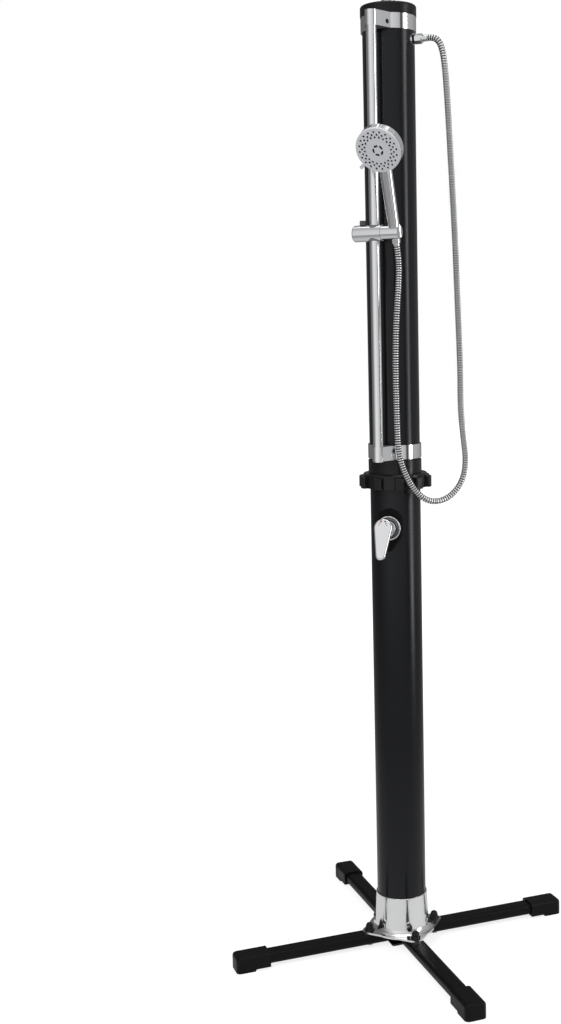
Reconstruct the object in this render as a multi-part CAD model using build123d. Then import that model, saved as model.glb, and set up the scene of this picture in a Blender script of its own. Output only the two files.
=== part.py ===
from build123d import *
import math
import os

# Free-standing solar outdoor shower, in millimetres.
# Origin on the floor under the tank tube. +Z up, -Y the user's side, +X the hose side.

# Driving dimensions: cross base
bar_width = 40.0
bar_height = 25.0
bar_corner = 10.0
bar_wall = 1.6
bar_lift = 7.0
leg_reach = 399.0
cap_wall = 4.3
cap_top_wall = 3.5
cap_end_wall = 4.0
cap_length = 77.0
cap_block_length = 42.0
cap_sleeve_lift = 4.5
cap_corner = 10.0
centre_foot_length = 70.0
centre_foot_width = 58.0
centre_foot_draft = 35.0

# Driving dimensions: cast flange and its fasteners
plate_side = 144.5
plate_thickness = 4.0
plate_corner = 15.0
bolt_radius = 80.0
bolt_diameter = 8.0
bolt_head_flats = 13.0
bolt_head_height = 5.3
bolt_nut_height = 6.5
bolt_hole_slack = 0.8
bolt_cap_base = 23.0
bolt_cap_height = 18.0
socket_top = 120.0
socket_wall = 2.5
socket_draft = 2.8
flare_radius = 15.0
ledge_height = 6.0
drain_hole_radius = 44.0
groove_count = 7
groove_start_angle = -16.0
groove_bottom = 67.0
groove_top = 118.0
groove_width_bottom = 8.4
groove_width_top = 2.0
groove_floor = 2.0
socket_screw_count = 6
socket_screw_angle = -22.5
socket_screw_height = 51.0
socket_screw_diameter = 5.0
socket_screw_head = 9.0
socket_screw_head_height = 5.8

# Driving dimensions: tank tubes and the union between them
tube_radius = 55.0
tube_wall = 3.2
upper_tube_top = 2048.0
union_height = 1050.0
nut_height = 31.0
nut_radius = 70.0
lobe_count = 10
lobe_radius = 79.5
lobe_width = 19.0
lobe_height = 25.0
lobe_angle = 29.6
thread_radius = 62.0
tail_sleeve_radius = 58.0
tail_sleeve_rise = 60.0
gasket_thickness = 2.0
thread_pitch = 5.0
union_bore = 50.0
bottom_plug_wall = 4.0
bottom_plug_height = 22.0

# Driving dimensions: rail and its straps
rail_radius = 11.0
rail_wall = 1.2
rail_offset = 89.0
strap_height = 30.5
lower_strap_rise = 64.0
upper_strap_drop = 43.5
strap_tube_radius = 58.2
strap_rail_radius = 12.8
strap_screw_offset = 66.5
strap_screw_diameter = 5.0
strap_screw_head = 9.0
spacer_gap = 0.6
spacer_overlap = 8.0

# Driving dimensions: top end and outlet
cap_radius = 59.0
cap_skirt = 12.2
cap_disc = 10.5
cap_edge = 5.0
vent_radius = 14.0
vent_height = 15.5
vent_shank = 8.0
outlet_drop = 61.0
outlet_shank = 7.9
outlet_flange_radius = 12.0
outlet_flange_end = 57.5
outlet_nipple = 7.0
outlet_nipple_end = 71.0
outlet_washer_radius = 9.2
hose_nut_start = 61.4
hose_nut_end = 75.7
hose_nut_flats = 18.6
ferrule_end = 88.0

# Driving dimensions: inlet at the back
inlet_height = 165.0
inlet_thread_radius = 13.2
inlet_thread_length = 17.5
inlet_bore = 7.5
inlet_shank = 10.2
inlet_flange_flats = 30.0
inlet_flange_thickness = 6.0
inlet_seal_thickness = 2.5
pipe_radius = 6.0
pipe_bore = 4.5
pipe_bend = 15.0

# Driving dimensions: mixing valve, measured out from the tube's axis
mixer_drop = 84.0
mixer_angle = 8.5
mixer_hole = 22.0
saddle_radius = 60.0
saddle_face = 61.0
saddle_boss = 27.5
saddle_top = 41.5
saddle_half_width = 29.0
saddle_low_radius = 27.0
saddle_low_centre = 12.0
saddle_tip_radius = 6.0
saddle_tip = 52.0
mixer_body_radius = 24.0
mixer_body_back = 18.0
port_radius = 9.0
port_spread = 10.0
port_reach = 32.0
port_depth = 30.0
cartridge_radius = 17.5
cartridge_back = 33.0
cartridge_front_gap = 12.0
ring_outer = 26.5
ring_inner = 23.5
ring_depth = 3.4
bonnet_radius = 19.5
bonnet_wall = 1.8
bonnet_mouth = 13.0
pivot_reach = 25.0
turret_radius = 11.5
turret_back_reach = 28.0
turret_front_reach = 6.0
turret_slot_depth = 12.0
stem_radius = 4.0
stem_pin_radius = 1.5
lever_tilt = 24.0
lever_face_reach = 31.5
lever_top_radius = 20.0
lever_tip_radius = 10.8
lever_length = 90.8
lever_above_axis = 17.8
lever_plate = 9.0
lever_hub_radius = 18.0
lever_hub_depth = 13.0
lever_skin = 2.2
lever_screw_radius = 2.0

# Driving dimensions: slider and handset
slider_drop = 414.5
barrel_radius = 17.0
barrel_left = -46.0
barrel_split = 17.5
cradle_radius = 15.25
cradle_end = 57.0
cradle_socket_x = 45.5
handset_lean = 19.0
socket_slot = 15.6
bush_radius = 13.5
bush_half_height = 16.0
knob_x = -26.0
knob_radius = 7.0
knob_flat = 16.6
knob_height = 9.3
knob_stem = 3.0
knob_flutes = 8
cradle_bolt_radius = 4.0
cradle_bolt_head = 6.5
cradle_bolt_head_start = 30.0
cone_top_radius = 11.2
cone_low_radius = 8.9
cone_top = 16.0
cone_low = -22.0
ferrule_low = -28.0
ferrule_radius = 6.75
handle_radius_low = 12.0
handle_half_width = 13.2
handle_half_depth = 11.6
handle_end = 128.0
handle_bore = 6.0
face_ahead = 80.0
face_rise = 156.0
face_tilt = 32.0
head_radius = 48.0
head_depth = 20.0
head_edge = 6.0
head_back_radius = 20.0
head_back_depth = 33.0
plate_lip = 4.0
plate_spigot_radius = 45.5
plate_spigot = 5.0
mat_radius = 43.0
mat_thickness = 2.0
nozzles_per_ring = 20
nozzle_rings = (28.5, 33.9, 39.7)
nozzle_radius = 1.5
nozzle_proud = 0.9
slot_count = 5
slot_ring = 9.5
slot_length = 8.0
slot_width = 3.0
tab_angle = 53.0
tab_reach = 60.0
tab_width = 7.0
tab_thickness = 3.4

# Hose: centreline points from the outlet to the handset, heights measured from the slider
hose_radius = 6.75
hose_points = [
    (88.0, 0.0, 397.0),
    (102.0, 0.0, 397.0),
    (113.5, 0.0, 387.5),
    (120.0, 0.0, 372.0),
    (124.5, -0.5, 348.0),
    (128.0, -1.0, 313.0),
    (132.0, -1.0, 248.0),
    (137.5, 0.0, 132.0),
    (144.0, 1.0, -5.0),
    (149.0, 0.0, -150.0),
    (153.5, 1.0, -285.0),
    (153.0, 1.0, -365.0),
    (157.0, 5.0, -430.0),
    (162.0, 9.0, -482.0),
    (155.0, 4.0, -526.0),
    (132.0, -15.0, -560.0),
    (101.0, -41.0, -568.0),
    (76.0, -63.0, -546.0),
    (58.0, -78.0, -508.0),
    (46.0, -89.0, -460.0),
    (45.0, -91.0, -400.0),
    (43.5, -91.5, -305.0),
    (45.0, -91.0, -205.0),
    (47.5, -86.0, -145.0),
    (47.5, -76.0, -95.0),
    (45.5, -70.1, -54.9),
    (45.5, -79.9, -26.5),
]

# Clearances
slip = 0.1
running = 0.05
apart = 0.3

# Derived heights and depths
lower_strap_base = union_height + lower_strap_rise
upper_strap_base = upper_tube_top - upper_strap_drop
tail_sleeve_top = union_height + tail_sleeve_rise
cap_base = upper_tube_top - cap_skirt
outlet_height = upper_tube_top - outlet_drop
mixer_height = union_height - mixer_drop
slider_height = upper_strap_base - slider_drop
pivot_depth = saddle_face + pivot_reach
cartridge_front = pivot_depth - cartridge_front_gap
turret_back = pivot_depth - turret_back_reach
turret_front = pivot_depth + turret_front_reach
lever_face_depth = pivot_depth + lever_face_reach
face_y = -rail_offset - face_ahead
face_z = slider_height + face_rise
bar_top = bar_lift + bar_height
plate_top = bar_top + plate_thickness
tube_inner = tube_radius - tube_wall
tube_seat = bar_top + ledge_height
lower_tube_top = union_height + 11.0
spigot_top = union_height + 18.0
tail_base = spigot_top + gasket_thickness
tail_flange_top = tail_base + 5.0
upper_tube_base = tail_base + 6.0
nut_top = union_height + nut_height
rail_base = lower_strap_base - 2.0
rail_top = upper_strap_base + strap_height
outer_end_stop = leg_reach - cap_end_wall


def ring(outer, inner, low, high):
    return Pos(0, 0, low) * extrude(Circle(outer) - Circle(inner), amount=high - low)


def rod(radius, low, high):
    return Pos(0, 0, low) * extrude(Circle(radius), amount=high - low)


def spun(points):
    """A solid of revolution about Z from (radius, height) points."""
    outline = Polyline(*[(r, 0, z) for r, z in points], close=True)
    return revolve(make_face(outline), Axis.Z)


def along_x(shape):
    """Lay a shape built along +Z so that it runs along +X."""
    return Rot(0, 90, 0) * shape


def outward(shape):
    """Lay a shape built along +Z so that it runs out of the tube along -Y."""
    return Rot(90, 0, 0) * shape


def at_mixer(shape):
    """Place a shape built about the -Y axis at the valve's height and turn."""
    return Rot(0, 0, mixer_angle) * Pos(0, 0, mixer_height) * shape


def hexagon(flats):
    return RegularPolygon(flats / 2, 6, major_radius=False)


def hull(*discs):
    """The outline stretched round circles given as (radius, x, y)."""
    edges = []
    for radius, x, y in discs:
        edges += (Pos(x, y) * Circle(radius)).edges()
    return make_hull(edges)


# Cross base

def bar_outline(grow=0.0):
    return RectangleRounded(bar_width + 2 * grow, bar_height + 2 * grow, bar_corner + grow)


def bar_run(start, end, grow=0.0):
    section = Plane.YZ.offset(start) * Pos(0, bar_lift + bar_height / 2) * bar_outline(grow)
    return extrude(section, amount=end - start)


def hollow_bar(start, end):
    return bar_run(start, end) - bar_run(start, end, -bar_wall)


def bolt_hole(x):
    return Pos(x, 0, 0) * rod(bolt_diameter / 2 + bolt_hole_slack / 2, 0, plate_top + 1)


def cross_bar_long():
    bar = hollow_bar(-outer_end_stop, outer_end_stop) - bolt_hole(bolt_radius) - bolt_hole(-bolt_radius)
    return Rot(0, 0, 45) * bar


def cross_bar_half(angle):
    crossing = Rot(0, 0, 90) * bar_run(-bar_width * 2, bar_width * 2, slip)
    bar = hollow_bar(0, outer_end_stop) - crossing - bolt_hole(bolt_radius)
    largest = bar.solids().sort_by(SortBy.VOLUME)[-1]
    return Rot(0, 0, angle) * largest


def foot_cap(angle):
    width = bar_width + 2 * cap_wall
    start = leg_reach - cap_length
    plan = Pos(start + cap_length / 2, 0) * Rectangle(cap_length, width)
    cap = extrude(plan, amount=bar_top + cap_top_wall)
    uprights = cap.edges().filter_by(Axis.Z).group_by(Axis.X)[-1]
    cap = fillet(uprights, cap_corner)
    rims = cap.faces().sort_by(Axis.Z)[-1].edges()
    rims = rims.filter_by(lambda edge: edge.center().X > start + 1)
    cap = fillet(rims, cap_corner - 1.5)
    block_start = leg_reach - cap_block_length
    step = Pos(start - 1, 0, 0) * Box(
        block_start - start + 1, width + 2, cap_sleeve_lift, align=(Align.MIN, Align.CENTER, Align.MIN)
    )
    inner_corner = step.edges().filter_by(Axis.Y).group_by(Axis.X)[-1].sort_by(Axis.Z)[-1]
    step = fillet(inner_corner, cap_sleeve_lift - 0.5)
    pocket = bar_run(start - 1, outer_end_stop + slip, slip)
    return Rot(0, 0, angle) * (cap - step - pocket)


def centre_foot():
    sole = RectangleRounded(centre_foot_length, centre_foot_width, 4)
    return Rot(0, 0, 45) * extrude(sole, amount=bar_lift, taper=-centre_foot_draft)


# Cast flange

def socket_outline():
    foot = tube_radius + slip + socket_wall + socket_draft
    top = tube_radius + slip + socket_wall
    flare_height = plate_top + flare_radius
    drop = flare_radius * math.sin(math.radians(45))
    middle = (foot + flare_radius - drop, 0, flare_height - drop)
    flare = ThreePointArc((foot + flare_radius, 0, plate_top), middle, (foot, 0, flare_height))
    rest = Polyline(
        (foot, 0, flare_height),
        (top, 0, socket_top - 1),
        (top - 1, 0, socket_top),
        (tube_radius + slip, 0, socket_top),
        (tube_radius + slip, 0, tube_seat),
        (drain_hole_radius, 0, tube_seat),
        (drain_hole_radius, 0, bar_top),
        (foot + flare_radius, 0, bar_top),
        (foot + flare_radius, 0, plate_top),
    )
    return make_face(flare + rest)


def socket_groove():
    floor = tube_radius + slip + groove_floor
    outline = Polygon(
        (-groove_width_bottom / 2, groove_bottom),
        (groove_width_bottom / 2, groove_bottom),
        (groove_width_top / 2, groove_top),
        (-groove_width_top / 2, groove_top),
        align=None,
    )
    foot_round = Pos(0, groove_bottom) * Circle(groove_width_bottom / 2)
    face = Plane.XZ.offset(floor) * (outline + foot_round)
    return extrude(face, amount=flare_radius / 2)


def around(shape, count, start):
    return [Rot(0, 0, start + 360 / count * i) * shape for i in range(count)]


def base_flange():
    plate = Pos(0, 0, bar_top) * extrude(
        RectangleRounded(plate_side, plate_side, plate_corner) - Circle(drain_hole_radius), amount=plate_thickness
    )
    flange = plate + revolve(socket_outline(), Axis.Z)
    boss_end = tube_radius + slip + socket_wall + socket_draft + 0.8
    boss = outward(rod(socket_screw_head / 2 + 1, tube_radius + 2, boss_end))
    for part in around(Pos(0, 0, socket_screw_height) * boss, socket_screw_count, socket_screw_angle):
        flange += part
    hole = outward(rod(socket_screw_diameter / 2 + slip, tube_radius - 2, boss_end + 1))
    cuts = around(Pos(0, 0, socket_screw_height) * hole, socket_screw_count, socket_screw_angle)
    cuts += around(socket_groove(), groove_count, groove_start_angle)
    cuts += around(bolt_hole(bolt_radius), 4, 45)
    seat = rod(bolt_cap_base / 2 + apart, plate_top, plate_top + flare_radius)
    cuts += around(Pos(bolt_radius, 0, 0) * seat, 4, 45)
    for cut in cuts:
        flange -= cut
    return flange


def socket_screws():
    seat = tube_radius + slip + socket_wall + socket_draft + 0.8
    head = rod(socket_screw_head / 2, seat, seat + socket_screw_head_height)
    head = chamfer(head.edges().sort_by(Axis.Z)[-1], 0.8)
    drive = extrude(Pos(0, 0, seat + socket_screw_head_height) * hexagon(4), amount=-3)
    screw = rod(socket_screw_diameter / 2, tube_radius + slip, seat) + head - drive
    placed = Pos(0, 0, socket_screw_height) * outward(screw)
    return Compound(around(placed, socket_screw_count, socket_screw_angle))


def flange_bolts():
    head = extrude(hexagon(bolt_head_flats), amount=-bolt_head_height)
    bolt = Pos(0, 0, bar_lift) * head + rod(bolt_diameter / 2, bar_lift, plate_top + bolt_nut_height + 2)
    return Compound(around(Pos(bolt_radius, 0, 0) * bolt, 4, 45))


def flange_nuts():
    nut = extrude(hexagon(bolt_head_flats) - Circle(bolt_diameter / 2 + running), amount=bolt_nut_height)
    return Compound(around(Pos(bolt_radius, 0, plate_top) * nut, 4, 45))


def dome_arc(radius, low, top):
    """An arc about a point on the Z axis, from (radius, low) up to the axis at top."""
    rise = top - low
    size = (radius ** 2 + rise ** 2) / (2 * rise)
    half = math.asin(radius / size) / 2
    middle = (size * math.sin(half), 0, top - size + size * math.cos(half))
    return ThreePointArc((radius, 0, low), middle, (0, 0, top))


def bolt_caps():
    base = bolt_cap_base / 2
    waist = base - 2.7
    top = plate_top + bolt_cap_height
    pocket = bolt_head_flats / 2 / math.cos(math.radians(30)) + 0.2
    nut_top_face = plate_top + bolt_nut_height
    bell = ThreePointArc(
        (base, 0, plate_top + 2.5), (waist + 0.6, 0, plate_top + 5), (waist, 0, plate_top + 9)
    )
    dome = dome_arc(waist - 1.2, top - 5, top)
    rest = Polyline(
        (0, 0, top),
        (0, 0, nut_top_face + 4.5),
        (bolt_diameter / 2 + apart, 0, nut_top_face + 4.5),
        (bolt_diameter / 2 + apart, 0, nut_top_face + 0.5),
        (pocket, 0, nut_top_face + 0.5),
        (pocket, 0, plate_top),
        (base, 0, plate_top),
        (base, 0, plate_top + 2.5),
    )
    side = Line((waist, 0, plate_top + 9), (waist - 1.2, 0, top - 5))
    cap = revolve(make_face(bell + side + dome + rest), Axis.Z)
    return Compound(around(Pos(bolt_radius, 0, 0) * cap, 4, 45))


# Tank

def lower_tube():
    tube = ring(tube_radius, tube_inner, tube_seat, lower_tube_top)
    mixer_cut = at_mixer(outward(rod(mixer_hole, tube_inner - 30, tube_radius + 5)))
    inlet_cut = Pos(0, 0, inlet_height) * Rot(-90, 0, 0) * rod(inlet_shank + slip, 30, tube_radius + 5)
    return tube - mixer_cut - inlet_cut


def bottom_plug():
    outer = tube_inner - slip
    return spun([
        (0, tube_seat), (outer, tube_seat), (outer, tube_seat + bottom_plug_height),
        (outer - bottom_plug_wall, tube_seat + bottom_plug_height),
        (outer - bottom_plug_wall, tube_seat + bottom_plug_wall), (0, tube_seat + bottom_plug_wall),
    ])


def union_spigot():
    bore = tube_radius + slip
    return spun([
        (bore, union_height + 1), (thread_radius, union_height + 1), (thread_radius, spigot_top),
        (union_bore, spigot_top), (union_bore, lower_tube_top + slip), (bore, lower_tube_top + slip),
    ])


def union_gasket():
    return ring(thread_radius - 1, union_bore + 1, spigot_top, tail_base)


def union_tail():
    bore = tube_radius + slip
    return spun([
        (union_bore, tail_base), (thread_radius - slip, tail_base), (thread_radius - slip, tail_flange_top),
        (tail_sleeve_radius, tail_flange_top), (tail_sleeve_radius, tail_sleeve_top),
        (bore, tail_sleeve_top), (bore, upper_tube_base - slip), (union_bore, upper_tube_base - slip),
    ])


def thrust_ring():
    low = tail_flange_top + slip
    return ring(thread_radius, tail_sleeve_radius + apart, low, low + 2)


def collar_nut():
    bore = thread_radius + running
    shoulder = tail_flange_top + 2 + 2 * slip
    body = spun([
        (bore, union_height), (nut_radius, union_height), (nut_radius, nut_top - 2),
        (nut_radius - 2, nut_top), (tail_sleeve_radius + 0.4, nut_top),
        (tail_sleeve_radius + 0.4, shoulder), (bore, shoulder),
    ])
    reach = lobe_radius - nut_radius + 4
    grip = Pos(0, -(lobe_radius - reach / 2)) * Rectangle(lobe_width, reach)
    lobe = Pos(0, 0, union_height) * extrude(grip, amount=lobe_height)
    outer_uprights = lobe.edges().filter_by(Axis.Z).group_by(Axis.Y)[0]
    lobe = fillet(outer_uprights, 3.5)
    rim = lobe.faces().sort_by(Axis.Z)[-1].edges().filter_by(lambda edge: edge.center().Y < -nut_radius - 2)
    lobe = fillet(rim, 2.5)
    for part in around(lobe, lobe_count, lobe_angle):
        body += part
    return body


def upper_tube():
    tube = ring(tube_radius, tube_inner, upper_tube_base, upper_tube_top)
    hole = Pos(0, 0, outlet_height) * along_x(rod(outlet_shank + slip, 30, tube_radius + 5))
    return tube - hole


def top_cap():
    top = upper_tube_top + cap_disc
    skirt = tube_radius + slip
    side = Line((cap_radius, 0, cap_base), (cap_radius, 0, top - cap_edge))
    turn = cap_edge * (1 - math.cos(math.radians(45)))
    edge = ThreePointArc(
        (cap_radius, 0, top - cap_edge), (cap_radius - turn, 0, top - turn), (cap_radius - cap_edge, 0, top)
    )
    rest = Polyline(
        (cap_radius - cap_edge, 0, top),
        (vent_shank + running, 0, top),
        (vent_shank + running, 0, upper_tube_top + slip),
        (skirt, 0, upper_tube_top + slip),
        (skirt, 0, cap_base),
        (cap_radius, 0, cap_base),
    )
    return revolve(make_face(side + edge + rest), Axis.Z)


def vent_plug():
    base = upper_tube_top + cap_disc
    head = rod(vent_radius, base, base + vent_height)
    head = fillet(head.edges().sort_by(Axis.Z)[-1], 4)
    return head + rod(vent_shank, upper_tube_top - 6, base)


# Water fittings and inner pipes

def clear_of_tube(shape):
    return shape - rod(tube_radius + running, -tube_radius, tube_radius)


def outlet_fitting():
    flange = clear_of_tube(along_x(rod(outlet_flange_radius, tube_radius - 4, outlet_flange_end)))
    shank = along_x(rod(outlet_shank, tube_radius - 12, outlet_flange_end))
    nipple = along_x(rod(outlet_nipple, outlet_flange_end, outlet_nipple_end))
    bore = along_x(rod(pipe_bore, 0, outlet_nipple_end + 1))
    return Pos(0, 0, outlet_height) * (flange + shank + nipple - bore)


def outlet_washer():
    washer = ring(outlet_washer_radius, outlet_nipple + running, outlet_flange_end, hose_nut_start)
    return Pos(0, 0, outlet_height) * along_x(washer)


def hose_nut():
    nut = extrude(hexagon(hose_nut_flats), amount=hose_nut_end - hose_nut_start)
    corner = hose_nut_flats / 2 / math.cos(math.radians(30))
    length = hose_nut_end - hose_nut_start
    bevel = spun([(0, 0), (corner - 1.2, 0), (corner, 1.2), (corner, length - 1.2), (corner - 1.2, length), (0, length)])
    nut = nut & bevel
    deep = outlet_nipple_end - hose_nut_start + 0.5
    nut -= rod(outlet_nipple + running, -1, deep)
    nut -= rod(ferrule_radius - 1.2, -1, length + 1)
    return Pos(hose_nut_start, 0, outlet_height) * along_x(nut)


def hose_ferrule():
    sleeve = spun([
        (pipe_bore, hose_nut_end), (ferrule_radius - 1.2, hose_nut_end), (ferrule_radius, hose_nut_end + 2),
        (ferrule_radius, ferrule_end), (pipe_bore, ferrule_end),
    ])
    return Pos(0, 0, outlet_height) * along_x(sleeve)


def inlet_seal():
    washer = ring(inlet_flange_flats / 2, inlet_shank + slip, tube_radius - 3, tube_radius + inlet_seal_thickness)
    return Pos(0, 0, inlet_height) * clear_of_tube(Rot(-90, 0, 0) * washer)


def inlet_fitting():
    seat = tube_radius + inlet_seal_thickness
    thread_start = seat + inlet_flange_thickness
    flange = Pos(0, 0, seat) * extrude(hexagon(inlet_flange_flats), amount=inlet_flange_thickness)
    shank = rod(inlet_shank, tube_inner - 14, seat)
    thread = rod(inlet_thread_radius, thread_start, thread_start + inlet_thread_length)
    thread = chamfer(thread.edges().sort_by(Axis.Z)[-1], 1.2)
    bore = rod(inlet_bore, thread_start, thread_start + inlet_thread_length + 1)
    through = rod(pipe_bore, 0, thread_start + 1)
    return Pos(0, 0, inlet_height) * Rot(-90, 0, 0) * (flange + shank + thread - bore - through)


def inlet_locknut():
    half = inlet_flange_flats / 2
    touch = math.sqrt(tube_inner ** 2 - half ** 2) - slip
    nut = Pos(0, 0, touch - 7) * extrude(Circle(half) - Circle(inlet_shank + running), amount=7)
    return Pos(0, 0, inlet_height) * Rot(-90, 0, 0) * nut


def turned(x, y):
    """A plan point turned with the valve."""
    angle = math.radians(mixer_angle)
    return (x * math.cos(angle) - y * math.sin(angle), x * math.sin(angle) + y * math.cos(angle))


def pipe(points, bend):
    path = FilletPolyline(*points, radius=bend)
    start = Plane(origin=path @ 0, z_dir=path % 0)
    return sweep(start * (Circle(pipe_radius) - Circle(pipe_bore)), path=path)


def cold_feed_pipe():
    x, y = turned(0, -port_depth)
    end = mixer_height - port_reach
    start = tube_inner - 14
    return pipe([(0, start, inlet_height), (0, 0, inlet_height), (x, y, inlet_height + 40), (x, y, end)], pipe_bend)


def hot_pickup_pipe():
    x, y = turned(-port_spread, -port_depth)
    return Pos(x, y, 0) * ring(pipe_radius, pipe_bore, mixer_height + port_reach, outlet_height + 25)


def mixed_riser_pipe():
    x, y = turned(port_spread, -port_depth)
    low = mixer_height + port_reach
    end = tube_radius - 12
    return pipe([(x, y, low), (x, y, outlet_height - 60), (16, 0, outlet_height), (end, 0, outlet_height)], pipe_bend / 2)


# Mixing valve

def saddle_outline():
    upper_centre = saddle_top - saddle_half_width
    return hull(
        (saddle_half_width, 0, upper_centre),
        (saddle_low_radius, 0, -saddle_low_centre),
        (saddle_tip_radius, 0, saddle_tip_radius - saddle_tip),
    )


def mixer_saddle():
    outline = Plane.XZ.offset(tube_radius - 25) * saddle_outline()
    skin = extrude(outline, amount=45) & Pos(0, 0, -mixer_height) * rod(saddle_radius, 0, upper_tube_top)
    outer_rim = skin.faces().sort_by(Axis.Y)[0].edges()
    skin = chamfer(outer_rim, 1.6)
    boss = outward(rod(saddle_boss, tube_radius - 25, saddle_face))
    boss = chamfer(boss.edges().sort_by(Axis.Y)[0], 1)
    drilled = skin + boss - outward(rod(mixer_hole + slip, 0, saddle_face + 1))
    kept = drilled - Pos(0, 0, -mixer_height) * rod(tube_radius + slip, 0, upper_tube_top)
    return at_mixer(kept.solids().sort_by(SortBy.VOLUME)[-1])


def mixer_body():
    inner_front = math.sqrt(tube_inner ** 2 - mixer_body_radius ** 2) - apart
    block = rod(mixer_body_radius, mixer_body_back, inner_front)
    neck = rod(mixer_hole - slip, inner_front, saddle_face)
    body = outward(block + neck)
    for x, low, high in ((0, -port_reach, 0), (-port_spread, 0, port_reach), (port_spread, 0, port_reach)):
        body += Pos(x, -port_depth, 0) * rod(port_radius, low, high)
    for x, low, high in (
        (0, -port_reach, -mixer_body_radius + 10),
        (-port_spread, mixer_body_radius - 10, port_reach),
        (port_spread, mixer_body_radius - 10, port_reach),
    ):
        body -= Pos(x, -port_depth, 0) * rod(pipe_bore, low - 1, high + 1)
    body -= outward(rod(cartridge_radius + slip, cartridge_back, saddle_face + 1))
    return at_mixer(body)


def cartridge():
    shell = rod(cartridge_radius, cartridge_back, cartridge_front - 6)
    shell += rod(cartridge_radius - 2.5, cartridge_front - 6, cartridge_front)
    shell -= rod(turret_radius + running, turret_back - slip, cartridge_front + 1)
    for x, y in ((0, -8), (-8, 5), (8, 5)):
        shell -= Pos(x, y, 0) * rod(3.2, cartridge_back - 1, cartridge_back + 8)
    return at_mixer(outward(shell))


def mixer_ring():
    front = saddle_face + ring_depth
    band = ring(ring_outer, ring_inner, saddle_face, front)
    band = fillet(band.edges().group_by(Axis.Z)[-1], 1.3)
    return at_mixer(outward(band))


def cartridge_bonnet():
    inner = bonnet_radius - bonnet_wall
    mouth_out = pivot_depth + math.sqrt(bonnet_radius ** 2 - bonnet_mouth ** 2)
    mouth_in = pivot_depth + math.sqrt(inner ** 2 - bonnet_mouth ** 2)
    low = saddle_face
    outer_arc = ThreePointArc(
        (bonnet_radius, 0, pivot_depth),
        (bonnet_radius * math.cos(math.radians(25)), 0, pivot_depth + bonnet_radius * math.sin(math.radians(25))),
        (bonnet_mouth, 0, mouth_out),
    )
    inner_arc = ThreePointArc(
        (bonnet_mouth, 0, mouth_in),
        (inner * math.cos(math.radians(20)), 0, pivot_depth + inner * math.sin(math.radians(20))),
        (inner, 0, pivot_depth),
    )
    outline = (
        Line((bonnet_radius, 0, low), (bonnet_radius, 0, pivot_depth))
        + outer_arc
        + Line((bonnet_mouth, 0, mouth_out), (bonnet_mouth, 0, mouth_in))
        + inner_arc
        + Line((inner, 0, pivot_depth), (inner, 0, low))
        + Line((inner, 0, low), (bonnet_radius, 0, low))
    )
    return at_mixer(outward(revolve(make_face(outline), Axis.Z)))


def cartridge_turret():
    turret = rod(turret_radius, turret_back, turret_front)
    turret = chamfer(turret.edges().sort_by(Axis.Z)[-1], 1.5)
    slot_half = stem_radius + apart
    slot = Box(
        2 * slot_half, 4 * turret_radius, 2 * (turret_slot_depth + turret_front_reach),
        align=(Align.CENTER, Align.CENTER, Align.MIN),
    )
    turret -= Pos(0, 0, pivot_depth - turret_slot_depth) * slot
    turret -= Pos(0, 0, pivot_depth) * along_x(rod(stem_pin_radius + slip, -turret_radius - 1, turret_radius + 1))
    return at_mixer(outward(turret))


def stem_pin():
    reach = turret_radius - 0.5
    pin = Pos(0, 0, pivot_depth) * along_x(rod(stem_pin_radius, -reach, reach))
    return at_mixer(outward(pin))


def lever_frame():
    """Lever plane: origin at the stem's pivot, +Z out through the lever's face, +Y up the lever."""
    return Pos(0, -pivot_depth, 0) * Rot(90 - lever_tilt, 0, 0)


def face_distance():
    return (lever_face_depth - pivot_depth) * math.cos(math.radians(lever_tilt))


def face_foot():
    """How far up the lever's face the line through the pivot meets it from the valve's axis."""
    return (lever_face_depth - pivot_depth) * math.sin(math.radians(lever_tilt))


def stem_run(radius, start, end):
    return outward(rod(radius, start, end))


def lever_stem():
    stem_end = lever_face_depth - lever_skin - 3
    stem = stem_run(stem_radius, pivot_depth - 6, stem_end)
    stem -= Pos(0, -pivot_depth, 0) * along_x(rod(stem_pin_radius + running, -10, 10))
    return at_mixer(stem)


def lever_centre():
    return lever_above_axis - lever_top_radius


def mixer_lever():
    front = face_distance()
    tip = lever_above_axis - lever_length + lever_tip_radius
    outline = hull((lever_top_radius, 0, lever_centre()), (lever_tip_radius, 0, tip))
    plate = Pos(0, 0, front - lever_plate) * extrude(outline, amount=lever_plate)
    plate = fillet(plate.faces().sort_by(Axis.Z)[-1].edges(), 4)
    plate = chamfer(plate.faces().sort_by(Axis.Z)[0].edges(), 1)
    hub = Pos(0, lever_centre(), 0) * rod(lever_hub_radius, front - lever_hub_depth, front - 2)
    lever = plate + hub - Sphere(bonnet_radius + 1.1)
    lever = lever_frame() * lever
    socket = stem_run(stem_radius + running, pivot_depth - 10, lever_face_depth - lever_skin - 3 + slip)
    return at_mixer(lever - socket - lever_frame() * lever_screw_run(running))


def lever_screw_run(grow=0.0):
    mid = face_distance() - 4.6
    high = lever_above_axis + 2 if grow else lever_above_axis - 3
    run = Rot(-90, 0, 0) * rod(lever_screw_radius + grow, stem_screw_gap(), high)
    return Pos(0, 0, mid) * run


def stem_screw_gap():
    """Height up the lever at which the grub screw meets the stem."""
    mid = face_distance() - 4.6
    slope = math.radians(lever_tilt)
    return -mid * math.tan(slope) + stem_radius / math.cos(slope) + 0.9


def lever_screw():
    return at_mixer(lever_frame() * lever_screw_run())


# Rail and straps

def strap_outline(tube_r, rail_r):
    return hull((tube_r, 0, 0), (rail_r, 0, -rail_offset))


def strap(base):
    body = extrude(strap_outline(strap_tube_radius, strap_rail_radius), amount=strap_height)
    hollow = extrude(strap_outline(tube_radius + slip, rail_radius + slip), amount=strap_height)
    return Pos(0, 0, base) * (body - hollow - strap_screw_run(strap_screw_head / 2 + apart, strap_tube_radius))


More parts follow.
